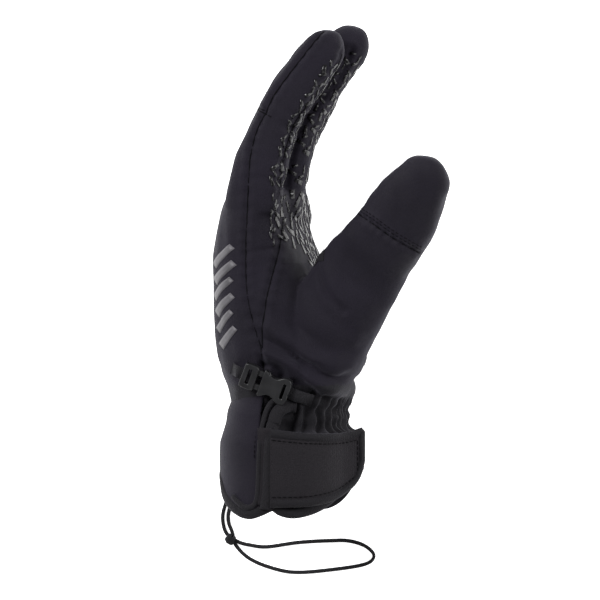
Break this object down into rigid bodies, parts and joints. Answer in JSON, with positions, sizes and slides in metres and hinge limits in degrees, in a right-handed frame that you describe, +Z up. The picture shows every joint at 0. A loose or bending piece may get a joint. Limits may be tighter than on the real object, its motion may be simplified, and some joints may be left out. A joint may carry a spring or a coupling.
{
  "type": "ski glove",
  "caption": "Padded left-hand ski glove with hinged finger and thumb sections, wrist buckle, peel-open cuff strap and an elastic wrist leash.",
  "frame": {"origin": "middle of the flat underside of the cuff, on the surface that the glove lies on", "axes": "+Z up, towards the index finger and thumb; +Y towards the fingertips; +X towards the palm side"},
  "size_m": [0.1546, 0.3207, 0.1402],
  "materials": {
    "softshell": "matt black woven softshell",
    "palm_fabric": "matt black fine-woven palm fabric",
    "fleece": "brushed black fleece",
    "stretch_fabric": "black stretch knit",
    "neoprene": "black laminated neoprene",
    "binding": "black ribbed edge tape",
    "hook_and_loop": "black hook and loop tape",
    "webbing": "black woven webbing",
    "buckle_plastic": "black satin moulded plastic",
    "elastic_cord": "black braided elastic",
    "silicone": "glossy black printed silicone",
    "reflective": "grey reflective film"
  },
  "bodies": {
    "cuff": {"cuff_back_panel": "softshell", "cuff_palm_panel": "stretch_fabric", "cuff_floor_strip": "softshell", "cuff_edge_binding": "binding", "hem_binding": "binding", "cuff_liner": "fleece", "cuff_loop_patch": "hook_and_loop", "leash_tab": "webbing", "leash_strand_out": "elastic_cord", "leash_strand_back": "elastic_cord", "leash_loop": "elastic_cord", "leash_knot": "elastic_cord"},
    "strap": {"strap_panel": "neoprene", "strap_binding": "binding", "strap_hook_patch": "hook_and_loop"},
    "hand": {"back_panel": "softshell", "index_side_panel": "softshell", "little_side_panel": "softshell", "palm_panel": "palm_fabric", "thumb_gusset": "softshell", "gathered_wrist": "stretch_fabric", "hand_liner": "fleece", "thumb_crotch_patch": "binding", "buckle_female": "buckle_plastic", "webbing_female_side": "webbing"},
    "buckle_slider": {"buckle_male": "buckle_plastic", "webbing_male_side": "webbing"},
    "index_base": {"index_base_shell": "softshell", "index_base_liner": "fleece"},
    "index_tip": {"index_tip_shell": "softshell", "index_tip_liner": "fleece"},
    "middle_base": {"middle_base_shell": "softshell", "middle_base_liner": "fleece"},
    "middle_tip": {"middle_tip_shell": "softshell", "middle_tip_liner": "fleece"},
    "ring_base": {"ring_base_shell": "softshell", "ring_base_liner": "fleece"},
    "ring_tip": {"ring_tip_shell": "softshell", "ring_tip_liner": "fleece"},
    "little_base": {"little_base_shell": "softshell", "little_base_liner": "fleece"},
    "little_tip": {"little_tip_shell": "softshell", "little_tip_liner": "fleece"},
    "thumb_base": {"thumb_base_shell": "softshell", "thumb_base_liner": "fleece"},
    "thumb_tip": {"thumb_cap_shell": "palm_fabric", "thumb_tip_liner": "fleece"}
  },
  "joints": [
    {"name": "wrist_flex", "type": "hinge", "parent": "cuff", "child": "hand", "pos_m": [-0.004, 0.027, 0.053], "axis": [0, 0, -1], "range_deg": [-15, 18], "stiffness_Nm_per_rad": 0.6},
    {"name": "strap_peel", "type": "hinge", "parent": "cuff", "child": "strap", "pos_m": [-0.0122, 0, 0.1062], "axis": [0, -1, 0], "range_deg": [0, 100]},
    {"name": "buckle_release", "type": "slide", "parent": "hand", "child": "buckle_slider", "axis": [-0.9272, 0.37, 0.0586], "range_m": [0, 0.012]},
    {"name": "index_root_flex", "type": "hinge", "parent": "hand", "child": "index_base", "pos_m": [-0.0155, 0.163, 0.09375], "axis": [0, 0, -1], "range_deg": [-8, 30], "stiffness_Nm_per_rad": 0.15},
    {"name": "index_middle_flex", "type": "hinge", "parent": "index_base", "child": "index_tip", "pos_m": [-0.00313, 0.19778, 0.09375], "axis": [0, 0, -1], "range_deg": [-5, 40], "stiffness_Nm_per_rad": 0.08},
    {"name": "middle_root_flex", "type": "hinge", "parent": "hand", "child": "middle_base", "pos_m": [-0.00726, 0.16315, 0.06675], "axis": [0, 0, -1], "range_deg": [-8, 30], "stiffness_Nm_per_rad": 0.15},
    {"name": "middle_middle_flex", "type": "hinge", "parent": "middle_base", "child": "middle_tip", "pos_m": [0.00512, 0.19793, 0.06675], "axis": [0, 0, -1], "range_deg": [-5, 40], "stiffness_Nm_per_rad": 0.08},
    {"name": "ring_root_flex", "type": "hinge", "parent": "hand", "child": "ring_base", "pos_m": [-0.0116, 0.1621, 0.04], "axis": [0, 0, -1], "range_deg": [-8, 30], "stiffness_Nm_per_rad": 0.15},
    {"name": "ring_middle_flex", "type": "hinge", "parent": "ring_base", "child": "ring_tip", "pos_m": [0.00077, 0.19688, 0.04], "axis": [0, 0, -1], "range_deg": [-5, 40], "stiffness_Nm_per_rad": 0.08},
    {"name": "little_root_flex", "type": "hinge", "parent": "hand", "child": "little_base", "pos_m": [-0.01827, 0.15543, 0.013], "axis": [0, 0, -1], "range_deg": [-8, 30], "stiffness_Nm_per_rad": 0.15},
    {"name": "little_middle_flex", "type": "hinge", "parent": "little_base", "child": "little_tip", "pos_m": [-0.0059, 0.19021, 0.013], "axis": [0, 0, -1], "range_deg": [-5, 40], "stiffness_Nm_per_rad": 0.08},
    {"name": "thumb_root_flex", "type": "hinge", "parent": "hand", "child": "thumb_base", "pos_m": [0.0436, 0.1131, 0.089], "axis": [0, 0, 1], "range_deg": [-12, 15], "stiffness_Nm_per_rad": 0.15},
    {"name": "thumb_middle_flex", "type": "hinge", "parent": "thumb_base", "child": "thumb_tip", "pos_m": [0.05943, 0.13373, 0.10304], "axis": [0, 0, 1], "range_deg": [-4, 35], "stiffness_Nm_per_rad": 0.08}
  ]
}
